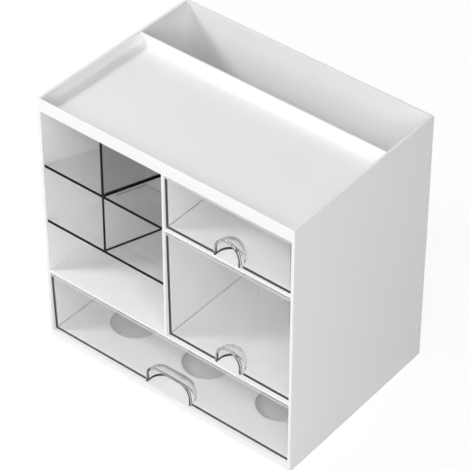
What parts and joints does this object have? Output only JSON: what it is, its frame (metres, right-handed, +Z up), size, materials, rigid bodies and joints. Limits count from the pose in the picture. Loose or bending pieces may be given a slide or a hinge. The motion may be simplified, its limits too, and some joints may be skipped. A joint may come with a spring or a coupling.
{
  "type": "desktop drawer organizer",
  "caption": "White desktop cabinet with a shallow tray and a deep pen trough on top, clear sloping cells, an open shelf and clear pull-out drawers with arch-shaped finger pulls.",
  "frame": {"origin": "bottom centre of the cabinet's bounding box, on the surface it stands on", "axes": "+Z up, -Y out of the fronts, +X to the right as seen from the front"},
  "size_m": [0.25, 0.1736, 0.2425],
  "materials": {
    "white_plastic": "satin white moulded plastic",
    "clear_plastic": "clear polished plastic"
  },
  "bodies": {
    "cabinet": {"left_side_panel": "white_plastic", "right_side_panel": "white_plastic", "rear_panel": "white_plastic", "base_plate": "white_plastic", "base_apron": "white_plastic", "lower_shelf": "white_plastic", "middle_shelf": "white_plastic", "centre_post": "white_plastic", "partition": "white_plastic", "tray_floor": "white_plastic", "front_lip": "white_plastic", "upper_sloping_plate": "clear_plastic", "lower_sloping_plate": "clear_plastic", "upper_cell_upright": "clear_plastic", "lower_cell_upright": "clear_plastic"},
    "top_drawer_unit": {"top_drawer": "clear_plastic", "top_drawer_pull": "clear_plastic"},
    "middle_drawer_unit": {"middle_drawer": "clear_plastic", "middle_drawer_pull": "clear_plastic"},
    "bottom_drawer_unit": {"bottom_drawer": "clear_plastic", "bottom_drawer_pull": "clear_plastic"}
  },
  "joints": [
    {"name": "top_drawer_slide", "type": "slide", "parent": "cabinet", "child": "top_drawer_unit", "axis": [0, -1, 0], "range_m": [0, 0.09]},
    {"name": "middle_drawer_slide", "type": "slide", "parent": "cabinet", "child": "middle_drawer_unit", "axis": [0, -1, 0], "range_m": [0, 0.09]},
    {"name": "bottom_drawer_slide", "type": "slide", "parent": "cabinet", "child": "bottom_drawer_unit", "axis": [0, -1, 0], "range_m": [0, 0.135]}
  ]
}
